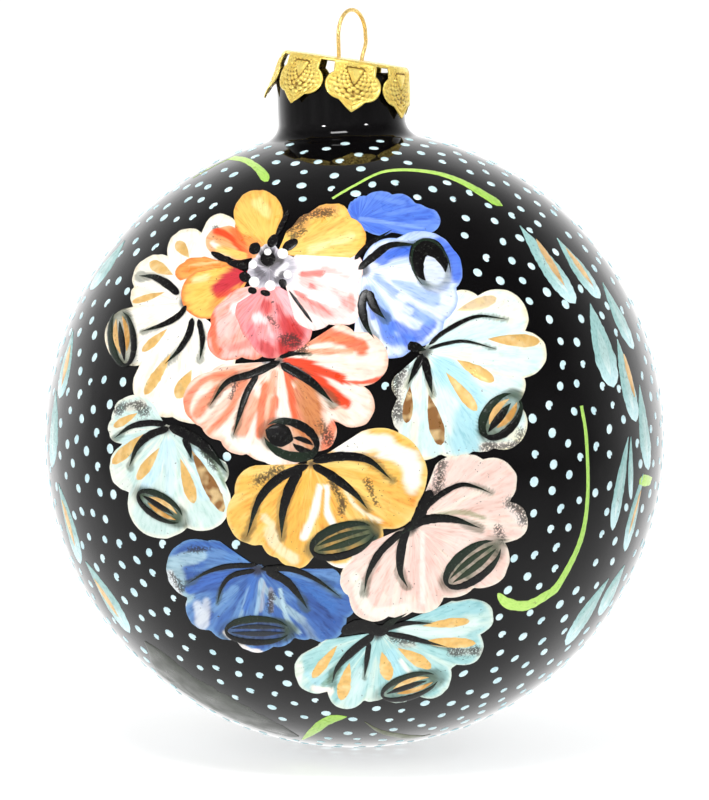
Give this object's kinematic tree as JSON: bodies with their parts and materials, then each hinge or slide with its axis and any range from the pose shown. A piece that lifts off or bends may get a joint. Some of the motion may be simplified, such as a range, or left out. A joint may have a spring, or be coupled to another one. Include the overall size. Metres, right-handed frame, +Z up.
{
  "type": "glass ball ornament",
  "caption": "Hand-painted black glass ball ornament with a pressed gold crown cap and a sprung wire hanger loop, hung from the top of its loop.",
  "frame": {"origin": "the hanging point, at the inner top of the wire loop", "axes": "+Z up, towards the hook; the painted front faces -Y; +X is to the right of someone facing the front"},
  "size_m": [0.1, 0.1, 0.119],
  "materials": {
    "black_glass": "gloss",
    "pressed_cap": "polished",
    "hanger_wire": "polished",
    "enamel_paint": "gloss",
    "gold_lustre": "polished"
  },
  "bodies": {
    "hanger": {"hanger_wire": "hanger_wire"},
    "cap": {"crown_cap": "pressed_cap"},
    "ball": {"ball_shell": "black_glass"}
  },
  "joints": [
    {"name": "cap_on_legs", "type": "slide", "parent": "hanger", "child": "cap", "axis": [0, 0, 1], "range_m": [-0.003, 0.0006]},
    {"name": "ball_pull_off", "type": "slide", "parent": "cap", "child": "ball", "axis": [0.0401, 0, -0.9992], "range_m": [0, 0.028]}
  ]
}
